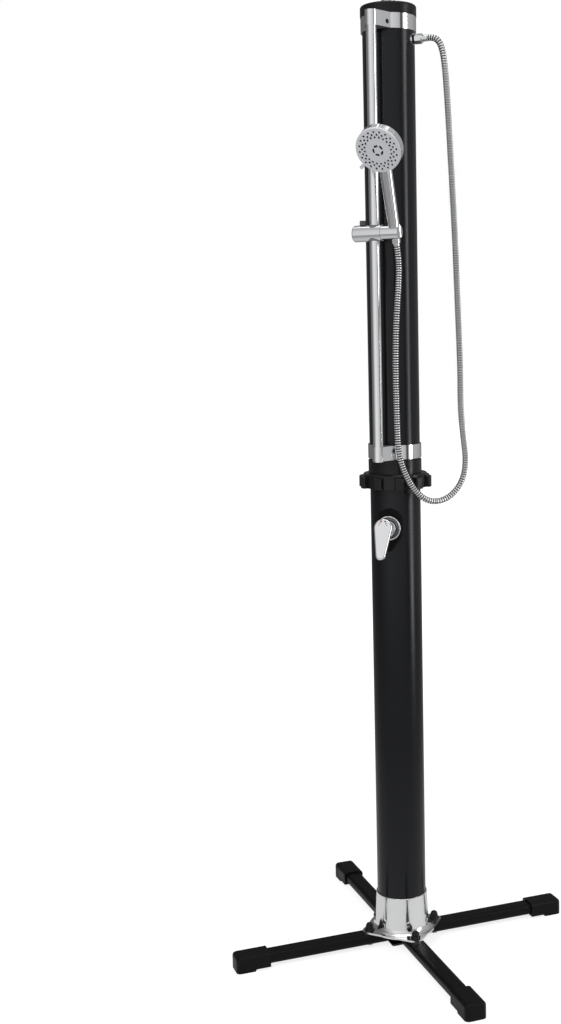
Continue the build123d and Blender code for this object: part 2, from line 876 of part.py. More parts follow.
def strap_screw_run(radius, reach):
    return Pos(0, -strap_screw_offset, strap_height / 2) * along_x(rod(radius, -reach, reach))


def spacer_half_width(y):
    slope = math.asin((tube_radius - rail_radius) / rail_offset)
    rail_side = (rail_radius - spacer_gap) / math.cos(slope)
    return rail_side + (rail_offset + y) * math.tan(slope)


def strap_screw_seat():
    """Half the width between the flats that the cross screw's head and nut bear on."""
    return spacer_half_width(-strap_screw_offset - strap_screw_head / 2 - apart) - spacer_gap


def strap_spacers():
    back = -tube_radius + spacer_overlap
    front = -rail_offset + spacer_overlap
    wide, narrow = spacer_half_width(back), spacer_half_width(front)
    outline = Polygon((-wide, back), (-narrow, front), (narrow, front), (wide, back), align=None)
    outline -= Circle(tube_radius + slip)
    outline -= Pos(0, -rail_offset) * Circle(rail_radius + slip)
    block = extrude(outline, amount=strap_height)
    block -= strap_screw_run(strap_screw_diameter / 2 + slip, strap_tube_radius)
    counterbore = along_x(rod(strap_screw_head / 2 + apart, strap_screw_seat(), strap_tube_radius))
    counterbore = Pos(0, -strap_screw_offset, strap_height / 2) * counterbore
    block = block - counterbore - mirror(counterbore, Plane.YZ)
    return Compound([Pos(0, 0, base) * block for base in (lower_strap_base, upper_strap_base)])


def strap_screws():
    seat = strap_screw_seat()
    head = rod(strap_screw_head / 2, seat, seat + 2.2)
    head = fillet(head.edges().sort_by(Axis.Z)[-1], 1)
    drive = extrude(Pos(0, 0, seat + 2.2) * hexagon(3), amount=-1.6)
    shank = rod(strap_screw_diameter / 2, -seat, seat)
    nut = Pos(0, 0, -seat) * extrude(hexagon(8), amount=-3)
    screw = along_x(head - drive + shank + nut)
    bases = (lower_strap_base, upper_strap_base)
    return Compound([Pos(0, -strap_screw_offset, base + strap_height / 2) * screw for base in bases])


def riser_rail():
    return Pos(0, -rail_offset, 0) * ring(rail_radius, rail_radius - rail_wall, rail_base, rail_top)


def rail_plugs():
    inner = rail_radius - rail_wall - slip
    top = rod(inner, rail_top - 10, rail_top) + rod(rail_radius, rail_top, rail_top + 1.5)
    low = rod(inner, rail_base, rail_base + 10) + rod(rail_radius, rail_base - 1.5, rail_base)
    return Compound([Pos(0, -rail_offset, 0) * top, Pos(0, -rail_offset, 0) * low])


# Slider and its cradle

def at_slider(shape):
    return Pos(0, -rail_offset, slider_height) * shape


def along_handset(shape):
    """Lean a shape built along +Z forward about the cradle's axis, at the socket."""
    return at_slider(Pos(cradle_socket_x, 0, 0) * Rot(handset_lean, 0, 0) * shape)


def slide_bush():
    return at_slider(ring(bush_radius, rail_radius + running + 0.03, -bush_half_height, bush_half_height))


def slider_body():
    barrel = along_x(rod(barrel_radius, barrel_left, barrel_split))
    barrel = fillet(barrel.edges().group_by(Axis.X)[0], 3)
    barrel -= rod(bush_radius + running, -barrel_radius - 1, barrel_radius + 1)
    barrel -= Pos(knob_x, 0, 0) * rod(knob_radius + 1, knob_flat, barrel_radius + 1)
    barrel -= Pos(knob_x, 0, 0) * rod(knob_stem + running, 0, barrel_radius + 1)
    barrel -= along_x(rod(cradle_bolt_radius + running, bush_radius + 0.5, barrel_split + 1))
    return at_slider(barrel)


def lock_knob():
    low = knob_flat + apart
    grip = Circle(knob_radius)
    for i in range(knob_flutes):
        grip -= Rot(0, 0, 360 / knob_flutes * i) * Pos(knob_radius + 0.8, 0) * Circle(1.5)
    knob = Pos(0, 0, low) * extrude(grip, amount=knob_height)
    knob = knob + rod(knob_stem, 1, low + 1)
    return at_slider(Pos(knob_x, 0, 0) * knob)


def cradle_bolt():
    bolt = rod(cradle_bolt_radius, bush_radius + 1, cradle_bolt_head_start)
    bolt += rod(cradle_bolt_head, cradle_bolt_head_start, cradle_bolt_head_start + 3)
    return at_slider(along_x(bolt))


def slider_cradle():
    start = barrel_split + apart
    barrel = along_x(rod(cradle_radius, start, cradle_end))
    barrel = chamfer(barrel.edges().group_by(Axis.X)[-1], 1)
    barrel -= along_x(rod(cradle_bolt_radius + running, start - 1, cradle_end))
    barrel -= along_x(rod(cradle_bolt_head + apart, cradle_bolt_head_start - apart, cradle_bolt_head_start + 8))
    taper = (cone_top_radius - cone_low_radius) / (cone_top - cone_low)
    low_radius = cone_low_radius + apart - 2 * taper
    high_radius = cone_top_radius + apart + 4 * taper
    low, high = cone_low - 2, cone_top + 4
    cone = Pos(0, 0, (low + high) / 2) * Cone(low_radius, high_radius, high - low)
    slot = Box(2 * cradle_radius, socket_slot, 4 * cradle_radius, align=(Align.MIN, Align.CENTER, Align.CENTER))
    lean = Pos(cradle_socket_x, 0, 0) * Rot(handset_lean, 0, 0)
    return at_slider(barrel - lean * cone - lean * slot)


# Handset

def hose_cone_nut():
    nut = spun([
        (pipe_bore, ferrule_low), (ferrule_radius, ferrule_low), (ferrule_radius, cone_low - 1.5),
        (cone_low_radius, cone_low), (cone_top_radius, cone_top), (pipe_bore, cone_top),
    ])
    return along_handset(nut)


def at_face(shape):
    """Place a shape built about +Z with its top at the spray face, +Z out of the face."""
    return Pos(cradle_socket_x, face_y, face_z) * Rot(90 + face_tilt, 0, 0) * shape


def handset_body():
    rim = -plate_lip - apart
    low_end = Pos(0, 0, cone_top) * Circle(handle_radius_low)
    high_end = Pos(0, 0, handle_end) * Ellipse(handle_half_width, handle_half_depth)
    face_room = at_face(rod(head_radius + apart, rim, rim + head_depth))
    handle = along_handset(loft([low_end, high_end])) - face_room
    drum = rod(head_radius, rim - head_depth, rim)
    drum = fillet(drum.edges().sort_by(Axis.Z)[0], head_edge)
    back_low = rim - head_back_depth
    back = Pos(0, 0, (back_low + rim - head_depth + 2) / 2) * Cone(
        head_back_radius, head_radius - head_edge, rim - head_depth + 2 - back_low
    )
    head = at_face(drum + back)
    recess = rod(plate_spigot_radius + apart, rim - plate_spigot - mat_thickness - 3, rim + 1)
    chamber = rod(30, rim - head_depth, rim)
    body = handle + head - at_face(recess) - at_face(chamber)
    bore = along_handset(rod(handle_bore, cone_top - 1, handle_end + 6))
    return body - bore


def polar(radius, angle):
    """A point on the face; angle 0 points down the handle, positive towards the user's left."""
    a = math.radians(angle)
    return (-radius * math.sin(a), -radius * math.cos(a))


def nozzle_places():
    places = []
    for number, radius in enumerate(nozzle_rings):
        shift = 0.5 if number == 1 else 0.0
        for i in range(nozzles_per_ring):
            places.append(polar(radius, 360 / nozzles_per_ring * (i + shift)))
    return places


def spray_plate():
    lip = rod(head_radius - 0.2, -plate_lip, 0)
    lip = fillet(lip.edges().sort_by(Axis.Z)[-1], 1.2)
    plate = lip + rod(plate_spigot_radius, -plate_lip - apart - plate_spigot, -plate_lip)
    plate -= rod(mat_radius + slip, -plate_lip - apart - plate_spigot - 1, -plate_lip)
    tab_length = tab_reach - head_radius + 4
    tab = Pos(0, -(tab_reach - tab_length / 2)) * RectangleRounded(tab_width, tab_length, tab_width / 2 - 0.5)
    tab = Rot(0, 0, -tab_angle) * Pos(0, 0, -plate_lip + 0.3) * extrude(tab, amount=tab_thickness)
    plate += tab
    holes = [Pos(x, y) * Circle(nozzle_radius + slip) for x, y in nozzle_places()]
    for i in range(slot_count):
        turn = Rot(0, 0, 360 / slot_count * i + 18)
        holes.append(turn * Pos(0, slot_ring) * SlotOverall(slot_length, slot_width))
    cut = Sketch() + holes
    return at_face(plate - Pos(0, 0, -plate_lip - 1) * extrude(cut, amount=plate_lip + 3))


def nozzle_mat():
    mat = rod(mat_radius, -plate_lip - mat_thickness, -plate_lip - slip)
    tips = Sketch() + [Pos(x, y) * Circle(nozzle_radius) for x, y in nozzle_places()]
    return at_face(mat + Pos(0, 0, -plate_lip - slip) * extrude(tips, amount=plate_lip + slip + nozzle_proud))


# Hose

def hose_route():
    return [(x, y, slider_height + rise) for x, y, rise in hose_points]


def hose_radii():
    """The bend at each inner point of the route, as wide as its two runs allow."""
    route = hose_route()
    radii = []
    for before, corner, after in zip(route, route[1:], route[2:]):
        one = Vector(*corner) - Vector(*before)
        two = Vector(*after) - Vector(*corner)
        turn = one.get_angle(two)
        radii.append(0.45 * min(one.length, two.length) / math.tan(math.radians(turn / 2)))
    return radii


def shower_hose():
    radii = hose_radii()
    path = FilletPolyline(*hose_route(), radius=radii)
    start = Plane(origin=path @ 0, z_dir=path % 0)
    hose = sweep(start * Circle(hose_radius), path=path)
    stated = math.pi * hose_radius ** 2 * path.length
    print("hose length", round(path.length, 1), "volume ratio", round(hose.volume / stated, 4))
    print("hose radii", [round(radius, 1) for radius in radii])
    return hose


def all_parts():
    corners = {"front_left": 225, "front_right": 315, "rear_right": 45, "rear_left": 135}
    parts = {
        "cross_bar_long": cross_bar_long(),
        "cross_bar_front": cross_bar_half(315),
        "cross_bar_rear": cross_bar_half(135),
        "centre_foot": centre_foot(),
        "base_flange": base_flange(),
        "socket_screws": socket_screws(),
        "flange_bolts": flange_bolts(),
        "flange_nuts": flange_nuts(),
        "bolt_caps": bolt_caps(),
        "lower_tube": lower_tube(),
        "bottom_plug": bottom_plug(),
        "inlet_seal": inlet_seal(),
        "inlet_fitting": inlet_fitting(),
        "inlet_locknut": inlet_locknut(),
        "cold_feed_pipe": cold_feed_pipe(),
        "hot_pickup_pipe": hot_pickup_pipe(),
        "mixed_riser_pipe": mixed_riser_pipe(),
        "union_spigot": union_spigot(),
        "union_gasket": union_gasket(),
        "union_tail": union_tail(),
        "thrust_ring": thrust_ring(),
        "collar_nut": collar_nut(),
        "upper_tube": upper_tube(),
        "top_cap": top_cap(),
        "vent_plug": vent_plug(),
        "outlet_fitting": outlet_fitting(),
        "outlet_washer": outlet_washer(),
        "hose_nut": hose_nut(),
        "hose_ferrule": hose_ferrule(),
        "mixer_saddle": mixer_saddle(),
        "mixer_body": mixer_body(),
        "cartridge": cartridge(),
        "mixer_ring": mixer_ring(),
        "cartridge_bonnet": cartridge_bonnet(),
        "cartridge_turret": cartridge_turret(),
        "stem_pin": stem_pin(),
        "lever_stem": lever_stem(),
        "mixer_lever": mixer_lever(),
        "lever_screw": lever_screw(),
        "strap_lower": strap(lower_strap_base),
        "strap_upper": strap(upper_strap_base),
        "strap_spacers": strap_spacers(),
        "strap_screws": strap_screws(),
        "riser_rail": riser_rail(),
        "rail_plugs": rail_plugs(),
        "slide_bush": slide_bush(),
        "slider_body": slider_body(),
        "lock_knob": lock_knob(),
        "cradle_bolt": cradle_bolt(),
        "slider_cradle": slider_cradle(),
        "hose_cone_nut": hose_cone_nut(),
        "handset_body": handset_body(),
        "spray_plate": spray_plate(),
        "nozzle_mat": nozzle_mat(),
        "shower_hose": shower_hose(),
    }
    for name, angle in corners.items():
        parts["foot_cap_" + name] = foot_cap(angle)
    return parts


os.makedirs("parts", exist_ok=True)
for node, shape in all_parts().items():
    export_step(shape, "parts/" + node + ".step")
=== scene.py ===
import math

import bmesh
import bpy
from mathutils import Matrix, Vector


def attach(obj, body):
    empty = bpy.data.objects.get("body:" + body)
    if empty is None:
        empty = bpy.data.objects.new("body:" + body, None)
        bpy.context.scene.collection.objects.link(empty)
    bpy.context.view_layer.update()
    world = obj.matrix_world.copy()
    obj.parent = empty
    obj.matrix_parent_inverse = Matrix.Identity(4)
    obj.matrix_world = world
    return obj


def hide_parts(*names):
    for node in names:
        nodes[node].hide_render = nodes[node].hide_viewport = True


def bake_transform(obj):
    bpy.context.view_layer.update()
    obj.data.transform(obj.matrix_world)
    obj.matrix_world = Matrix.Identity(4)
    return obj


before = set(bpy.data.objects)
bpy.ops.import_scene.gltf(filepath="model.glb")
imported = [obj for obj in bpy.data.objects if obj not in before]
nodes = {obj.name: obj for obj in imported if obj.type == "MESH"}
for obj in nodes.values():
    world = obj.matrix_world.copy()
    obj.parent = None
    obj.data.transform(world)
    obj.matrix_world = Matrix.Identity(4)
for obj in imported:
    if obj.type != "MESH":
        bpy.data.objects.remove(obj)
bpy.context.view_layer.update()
print("frame loaded with", len(nodes), "nodes")

# camera, fitted to the photograph: metres and degrees

cameraView = {
    "turn": 23.0871,  # round the tube from the front, towards the hose side
    "distance": 2.9464,
    "height": 1.4163,
    "yaw": 1.5654,
    "pitch": 8.1603,
    "roll": -1.1075,
    "lens": 47.565,
    "sensor": 36,
    "shift": -0.0768,
    "farthest": 60,
}


def makeCamera(view):
    turn = math.radians(view["turn"])
    heading = turn + math.radians(view["yaw"])
    pitch = math.radians(view["pitch"])
    roll = math.radians(view["roll"])
    place = Vector((math.sin(turn) * view["distance"], -math.cos(turn) * view["distance"], view["height"]))
    ahead = Vector((
        -math.sin(heading) * math.cos(pitch),
        math.cos(heading) * math.cos(pitch),
        -math.sin(pitch),
    ))
    right = Vector((math.cos(heading), math.sin(heading), 0))
    up = right.cross(ahead)
    across = right * math.cos(roll) + up * math.sin(roll)
    upward = up * math.cos(roll) - right * math.sin(roll)
    data = bpy.data.cameras.new("photoCamera")
    data.sensor_width = view["sensor"]
    data.lens = view["lens"]
    data.shift_x = view["shift"]
    data.clip_end = view["farthest"]
    camera = bpy.data.objects.new("photoCamera", data)
    bpy.context.scene.collection.objects.link(camera)
    axes = Matrix((across, upward, -ahead)).transposed().to_4x4()
    camera.matrix_world = Matrix.Translation(place) @ axes
    bpy.context.scene.camera = camera


makeCamera(cameraView)
print("camera placed")

mergeReach = 1e-7  # corners closer than this become one


def newObject(name, data):
    piece = bpy.data.objects.new(name, data)
    bpy.context.scene.collection.objects.link(piece)
    return piece


def meshObject(name, bm, material, smooth=True):
    bmesh.ops.remove_doubles(bm, verts=bm.verts, dist=mergeReach)
    bmesh.ops.recalc_face_normals(bm, faces=bm.faces)
    for face in bm.faces:
        face.smooth = smooth
    mesh = bpy.data.meshes.new(name)
    bm.to_mesh(mesh)
    bm.free()
    mesh.materials.append(material)
    return newObject(name, mesh)


def newMaterial(name):
    material = bpy.data.materials.new(name)
    material.use_nodes = True
    tree = material.node_tree
    return material, tree, tree.nodes["Principled BSDF"]


def mapRange(tree, source, fromRange, toRange):
    spread = tree.nodes.new("ShaderNodeMapRange")
    for socket, value in zip(("From Min", "From Max", "To Min", "To Max"), (*fromRange, *toRange)):
        spread.inputs[socket].default_value = value
    tree.links.new(source, spread.inputs["Value"])
    return spread.outputs["Result"]


# finishes: colour, roughness range, the size of the mottle and the size and depth of the grain

finishes = {
    "tubeBlack": {"colour": (0.004, 0.0045, 0.0065), "rough": (0.2, 0.26), "mottle": 9,
                  "grain": 900, "depth": 0.01, "shine": 0.33},
    "barBlack": {"colour": (0.003, 0.003, 0.0035), "rough": (0.3, 0.42), "mottle": 20,
                 "grain": 1500, "depth": 0.1, "shine": 0.16},
    "capBlack": {"colour": (0.004, 0.004, 0.0045), "rough": (0.34, 0.48), "mottle": 30,
                 "grain": 2200, "depth": 0.1, "shine": 0.16},
    "gripBlack": {"colour": (0.006, 0.006, 0.007), "rough": (0.24, 0.38), "mottle": 60,
                  "grain": 2600, "depth": 0.08, "shine": 0.26},
    "castMetal": {"colour": (0.93, 0.935, 0.94), "rough": (0.12, 0.22), "mottle": 45,
                  "grain": 700, "depth": 0.012, "metal": 1.0},
    "screwBlack": {"colour": (0.02, 0.02, 0.022), "rough": (0.3, 0.5), "mottle": 120,
                   "grain": 3000, "depth": 0.06, "metal": 0.6},
    "unionBlack": {"colour": (0.007, 0.007, 0.008), "rough": (0.16, 0.28), "mottle": 40,
                   "grain": 1400, "depth": 0.05, "shine": 0.32},
    "innerGrey": {"colour": (0.13, 0.13, 0.14), "rough": (0.5, 0.65), "mottle": 40,
                  "grain": 1800, "depth": 0.1},
    "chrome": {"colour": (0.92, 0.925, 0.94), "rough": (0.08, 0.12), "mottle": 14,
               "grain": 500, "depth": 0.001, "metal": 1.0},
    # the hose steel carries a painted shade: its colour goes near black in the rib grooves
    "hoseSteel": {"colour": (0.93, 0.93, 0.94), "rough": (0.2, 0.28), "mottle": 60,
                  "grain": 2500, "depth": 0.01, "metal": 1.0, "grooveShade": (0.01, 0.01, 0.011)},
    "brass": {"colour": (0.72, 0.53, 0.24), "rough": (0.24, 0.4), "mottle": 80,
              "grain": 1800, "depth": 0.06, "metal": 1.0},
    "steel": {"colour": (0.56, 0.57, 0.58), "rough": (0.22, 0.36), "mottle": 90,
              "grain": 2200, "depth": 0.06, "metal": 1.0},
    "rubber": {"colour": (0.003, 0.003, 0.003), "rough": (0.6, 0.75), "mottle": 50,
               "grain": 2400, "depth": 0.15, "shine": 0.15},
    "pipeWhite": {"colour": (0.75, 0.75, 0.72), "rough": (0.4, 0.55), "mottle": 30,
                  "grain": 1200, "depth": 0.05},
    "faceGrey": {"colour": (0.58, 0.59, 0.62), "rough": (0.28, 0.4), "mottle": 30,
                 "grain": 1600, "depth": 0.04},
    "knobGrey": {"colour": (0.06, 0.06, 0.066), "rough": (0.35, 0.5), "mottle": 60,
                 "grain": 2200, "depth": 0.08},
    "caseWhite": {"colour": (0.8, 0.8, 0.76), "rough": (0.4, 0.55), "mottle": 40,
                  "grain": 1400, "depth": 0.05},
    "ventPale": {"colour": (0.72, 0.72, 0.72), "rough": (0.25, 0.4), "mottle": 60,
                 "grain": 1500, "depth": 0.05, "metal": 1.0},
    "dotRed": {"colour": (0.2, 0.006, 0.02), "rough": (0.3, 0.4), "mottle": 200,
               "grain": 3000, "depth": 0.02},
    "dotGreen": {"colour": (0.004, 0.085, 0.045), "rough": (0.3, 0.4), "mottle": 200,
                 "grain": 3000, "depth": 0.02},
}

# what a finish has when it doesn't say otherwise
commonLook = {
    "metal": 0.0,
    "shine": 0.5,
    "mottleDetail": 4,
    "mottleSpan": (0.3, 0.7),  # the noise values that are the smoothest and the roughest
    "grainDetail": 2,
    "grainHeight": 0.001,
}


def noiseOn(tree, place, scale, detail):
    noise = tree.nodes.new("ShaderNodeTexNoise")
    noise.inputs["Scale"].default_value = scale
    noise.inputs["Detail"].default_value = detail
    tree.links.new(place.outputs["Object"], noise.inputs["Vector"])
    return noise.outputs["Fac"]


# painted shade: the colour darkens from the crest colour to the groove shade colour where the ribs dip in
def paintGrooveShade(tree, shader, crest, grooveShade):
    deep = tree.nodes.new("ShaderNodeAttribute")
    deep.attribute_name = "grooveShade"
    blend = tree.nodes.new("ShaderNodeMix")
    blend.data_type = "RGBA"
    blend.inputs[6].default_value = (*crest, 1)  # colour A
    blend.inputs[7].default_value = (*grooveShade, 1)  # colour B
    tree.links.new(deep.outputs["Fac"], blend.inputs["Factor"])
    tree.links.new(blend.outputs[2], shader.inputs["Base Color"])  # the mixed colour


def makeFinish(name, look):
    material, tree, shader = newMaterial(name)
    shader.inputs["Base Color"].default_value = (*look["colour"], 1)
    shader.inputs["Metallic"].default_value = look["metal"]
    shader.inputs["Specular IOR Level"].default_value = look["shine"]
    if "grooveShade" in look:
        paintGrooveShade(tree, shader, look["colour"], look["grooveShade"])
    place = tree.nodes.new("ShaderNodeTexCoord")
    mottle = noiseOn(tree, place, look["mottle"], look["mottleDetail"])
    roughness = mapRange(tree, mottle, look["mottleSpan"], look["rough"])
    tree.links.new(roughness, shader.inputs["Roughness"])
    bump = tree.nodes.new("ShaderNodeBump")
    bump.inputs["Strength"].default_value = look["depth"]
    bump.inputs["Distance"].default_value = look["grainHeight"]
    tree.links.new(noiseOn(tree, place, look["grain"], look["grainDetail"]), bump.inputs["Height"])
    tree.links.new(bump.outputs["Normal"], shader.inputs["Normal"])
    return material


finish = {name: makeFinish(name, {**commonLook, **look}) for name, look in finishes.items()}
print("finishes made:", len(finish))

# what each CAD piece is made of; the hose and the straps are made further down

pieceFinish = {
    "tubeBlack": ["lower_tube", "upper_tube"],
    "barBlack": ["cross_bar_long", "cross_bar_front", "cross_bar_rear"],
    "capBlack": ["foot_cap_front_left", "foot_cap_front_right", "foot_cap_rear_left",
                 "foot_cap_rear_right", "centre_foot"],
    "gripBlack": ["bolt_caps", "top_cap", "rail_plugs"],
    "castMetal": ["base_flange"],
    "screwBlack": ["socket_screws"],
    "unionBlack": ["collar_nut", "union_spigot", "union_tail"],
    "innerGrey": ["bottom_plug", "slide_bush", "mixer_body"],
    "chrome": ["riser_rail", "slider_body", "slider_cradle", "handset_body", "hose_cone_nut",
               "hose_nut", "hose_ferrule", "outlet_fitting", "mixer_ring", "cartridge_bonnet",
               "mixer_lever"],
    "brass": ["inlet_fitting", "inlet_locknut", "lever_stem"],
    "steel": ["flange_bolts", "flange_nuts", "stem_pin", "lever_screw", "cradle_bolt"],
    "rubber": ["inlet_seal", "union_gasket", "outlet_washer", "nozzle_mat", "mixer_saddle"],
    "pipeWhite": ["cold_feed_pipe", "hot_pickup_pipe", "mixed_riser_pipe", "thrust_ring"],
    "faceGrey": ["spray_plate"],
    "knobGrey": ["lock_knob"],
    "caseWhite": ["cartridge", "cartridge_turret"],
    "ventPale": ["vent_plug"],
}

for look, names in pieceFinish.items():
    for name in names:
        for holder in nodes[name].material_slots:
            holder.material = finish[look]
print("CAD pieces dressed")

# hose: a ribbed steel tube from the outlet down to the loop and up to the handset

hose = {
    "route": [
        (0.0880, 0.0000, 1.9870), (0.1020, 0.0000, 1.9870), (0.1135, 0.0000, 1.9775),
        (0.1200, 0.0000, 1.9620), (0.1245, -0.0005, 1.9380), (0.1280, -0.0010, 1.9030),
        (0.1320, -0.0010, 1.8380), (0.1375, 0.0000, 1.7220), (0.1440, 0.0010, 1.5850),
        (0.1490, 0.0000, 1.4400), (0.1535, 0.0010, 1.3050), (0.1530, 0.0010, 1.2250),
        (0.1570, 0.0050, 1.1600), (0.1620, 0.0090, 1.1080), (0.1550, 0.0040, 1.0640),
        (0.1320, -0.0150, 1.0300), (0.1010, -0.0410, 1.0220), (0.0760, -0.0630, 1.0440),
        (0.0580, -0.0780, 1.0820), (0.0460, -0.0890, 1.1300), (0.0450, -0.0910, 1.1900),
        (0.0435, -0.0915, 1.2850), (0.0450, -0.0910, 1.3850), (0.0475, -0.0860, 1.4450),
        (0.0475, -0.0760, 1.4950), (0.0455, -0.0701, 1.5351), (0.0455, -0.0799, 1.5635),
    ],
    "routeOrder": 3,
    "routeSteps": 24,
    "diameter": 0.0135,
    "ribPitch": 0.0052,
    "ribDepth": 0.0012,
    "ribShape": [0.0, 0.0, 1.0, 1.0],  # depth at the rings of one rib: two on its crest, two in its groove
    "shortestStep": 0.3,  # a last step shorter than this share of the others joins the one before
    "sides": 20,
    "drapeBelow": 0.02,  # the real hose starts to give this far below the outlet
    "swivelFrom": 1.465,
    "tiltFrom": 1.505,
    "liftFrom": 1.538,
}


def routeLine(settings):
    curve = bpy.data.curves.new("hoseRoute", "CURVE")
    curve.dimensions = "3D"
    spline = curve.splines.new("NURBS")
    spline.points.add(len(settings["route"]) - 1)
    for knot, place in zip(spline.points, settings["route"]):
        knot.co = (*place, 1)
    spline.order_u = settings["routeOrder"]
    spline.use_endpoint_u = True
    curve.resolution_u = settings["routeSteps"]
    holder = newObject("hoseRoute", curve)
    bpy.context.view_layer.update()
    line = bpy.data.meshes.new_from_object(holder)
    places = [vertex.co.copy() for vertex in line.vertices]
    bpy.data.objects.remove(holder)
    bpy.data.meshes.remove(line)
    return places


def spacedAlong(places, step, shortest):
    spaced = [places[0]]
    left = step
    for before, after in zip(places, places[1:]):
        span = (after - before).length
        gone = 0.0
        while span - gone >= left:
            gone += left
            spaced.append(before.lerp(after, gone / span))
            left = step
        left -= span - gone
    if (spaced[-1] - places[-1]).length > step * shortest:
        spaced.append(places[-1])
    else:
        spaced[-1] = places[-1]
    return spaced


def sweepTube(bm, places, radii, depths, sides):
    # each ring keeps how deep it lies in a rib, which sets the painted groove shade
    grooveShade = bm.verts.layers.float.new("grooveShade")
    angles = [2 * math.pi * k / sides for k in range(sides)]
    ahead = (places[1] - places[0]).normalized()
    side = ahead.orthogonal().normalized()
    rings = []
    for i, (place, radius, depth) in enumerate(zip(places, radii, depths)):
        nextAhead = (places[min(i + 1, len(places) - 1)] - places[max(i - 1, 0)]).normalized()
        side = (ahead.rotation_difference(nextAhead) @ side).normalized()
        ahead = nextAhead
        other = ahead.cross(side)
        spokes = [side * math.cos(a) + other * math.sin(a) for a in angles]
        rings.append([bm.verts.new(place + spoke * radius) for spoke in spokes])
        for vertex in rings[-1]:
            vertex[grooveShade] = depth
    for low, high in zip(rings, rings[1:]):
        for k in range(sides):
            bm.faces.new((low[k], low[(k + 1) % sides], high[(k + 1) % sides], high[k]))
    bm.faces.new(rings[0])
    bm.faces.new(rings[-1])


def hosePiece(name, places, settings):
    rib = settings["ribShape"]
    depths = [rib[i % len(rib)] for i in range(len(places))]
    radii = [settings["diameter"] / 2 - settings["ribDepth"] * depth for depth in depths]
    bm = bmesh.new()
    sweepTube(bm, places, radii, depths, settings["sides"])
    piece = meshObject(name, bm, finish["hoseSteel"])
    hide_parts("shower_hose")
    return piece


def makeHose(settings):
    step = settings["ribPitch"] / len(settings["ribShape"])
    places = spacedAlong(routeLine(settings), step, settings["shortestStep"])
    lowest = min(range(len(places)), key=lambda i: places[i].z)
    rising = range(lowest, len(places))
    cuts = [0, lowest]
    for height in (settings["swivelFrom"], settings["tiltFrom"], settings["liftFrom"]):
        cuts.append(next(i for i in rising if places[i].z >= height))
    cuts.append(len(places) - 1)
    names = ["hoseOutletRun", "hoseHandsetRun", "hoseSwivelLength", "hoseTiltLength", "hoseLiftLength"]
    pieces = [hosePiece(name, places[a:b + 1], settings) for name, a, b in zip(names, cuts, cuts[1:])]
    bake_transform(pieces[0])
    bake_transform(pieces[1])
    steps = [("carriage", "holder"), ("holder", "cradle"), ("cradle", "handset")]
    for piece, (a, b), low, high in zip(pieces[2:], steps, cuts[2:], cuts[3:]):
        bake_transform(piece)


makeHose(hose)
print("hose made")

# shapes that the straps and the spray face are made from


def arcPoints(centre, radius, start, end, steps):
    turns = [math.radians(start + (end - start) * i / steps) for i in range(steps + 1)]
    return [(centre[0] + radius * math.cos(a), centre[1] + radius * math.sin(a)) for a in turns]


def prism(bm, outline, low, high):
    corners = [bm.verts.new((x, y, low)) for x, y in outline]
    raised = bmesh.ops.extrude_face_region(bm, geom=[bm.faces.new(corners)])
    tops = [part for part in raised["geom"] if isinstance(part, bmesh.types.BMVert)]
    bmesh.ops.translate(bm, verts=tops, vec=(0, 0, high - low))
    return corners + tops


def rod(bm, radius, length, place, sides):
    bmesh.ops.create_cone(bm, cap_ends=True, segments=sides, radius1=radius, radius2=radius,
                          depth=length, matrix=place)
    return bm


def cutPiece(piece, bm):
    tool = meshObject("cutter", bm, piece.data.materials[0], smooth=False)
    cut = piece.modifiers.new("cut", "BOOLEAN")
    cut.object = tool
    cut.solver = "EXACT"
    bpy.context.view_layer.update()
    ready = piece.evaluated_get(bpy.context.evaluated_depsgraph_get())
    mesh = bpy.data.meshes.new_from_object(ready)
    piece.modifiers.clear()
    piece.data = mesh
    bpy.data.objects.remove(tool)


# straps: a ring round the tube, a tapered neck to the rail with a spacer in it, and a cross screw

straps = {
    "bands": [
        {"node": "strap_lower", "base": 1.114, "holeRise": 0.01925},
        {"node": "strap_upper", "base": 2.0045, "holeRise": 0.01125},  # the same strap, turned over
    ],
    "height": 0.0305,
    "ring": 0.0582,
    "ringBore": 0.0551,
    "ringSteps": 120,
    "railAt": 0.089,
    "tip": 0.0128,
    "tipBore": 0.0111,
    "tipSteps": 28,
    "flank": 20,  # degrees that each side of the neck leans in
    "screwAt": 0.061,
    "screwHole": 0.0048,
    "screwHead": 0.0045,
    "screwShank": 0.0025,
    "shankGap": 0.0001,
    "seat": 0.0189,
    "headHeight": 0.0022,
    "spacerFrom": 0.047,
    "spacerTo": 0.081,
    "spacerTip": 0.0104,
    "cutPast": 0.01,  # how far a cutter goes past the strap's top and bottom
    "cutHeight": 0.06,
    "cutReach": 0.04,
    "holeSides": 48,
    "tubeCutSides": 180,
    "railCutSides": 72,
    "shankSides": 32,
    "nutSides": 6,
    "sharp": 30,  # edges that turn more degrees than this stay crisp
}


def strapOutline(ring, tip, settings):
    flank = math.radians(settings["flank"])
    wall = settings["railAt"] * math.sin(flank) + tip
    corner = math.degrees(math.asin(wall / ring) - flank)
    front = arcPoints((0, -settings["railAt"]), tip, settings["flank"] - 180, -settings["flank"],
                      settings["tipSteps"])
    return front + arcPoints((0, 0), ring, -90 + corner, 270 - corner, settings["ringSteps"])


def crossRod(bm, radius, low, high, band, settings, sides):
    rise = band["base"] + band["holeRise"]
    middle = Matrix.Translation(((low + high) / 2, -settings["screwAt"], rise))
    return rod(bm, radius, high - low, middle @ Matrix.Rotation(math.radians(90), 4, "Y"), sides)


def finishCut(piece, node, settings):
    piece.data.set_sharp_from_angle(angle=math.radians(settings["sharp"]))
    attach(piece, "stand")
    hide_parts(node)


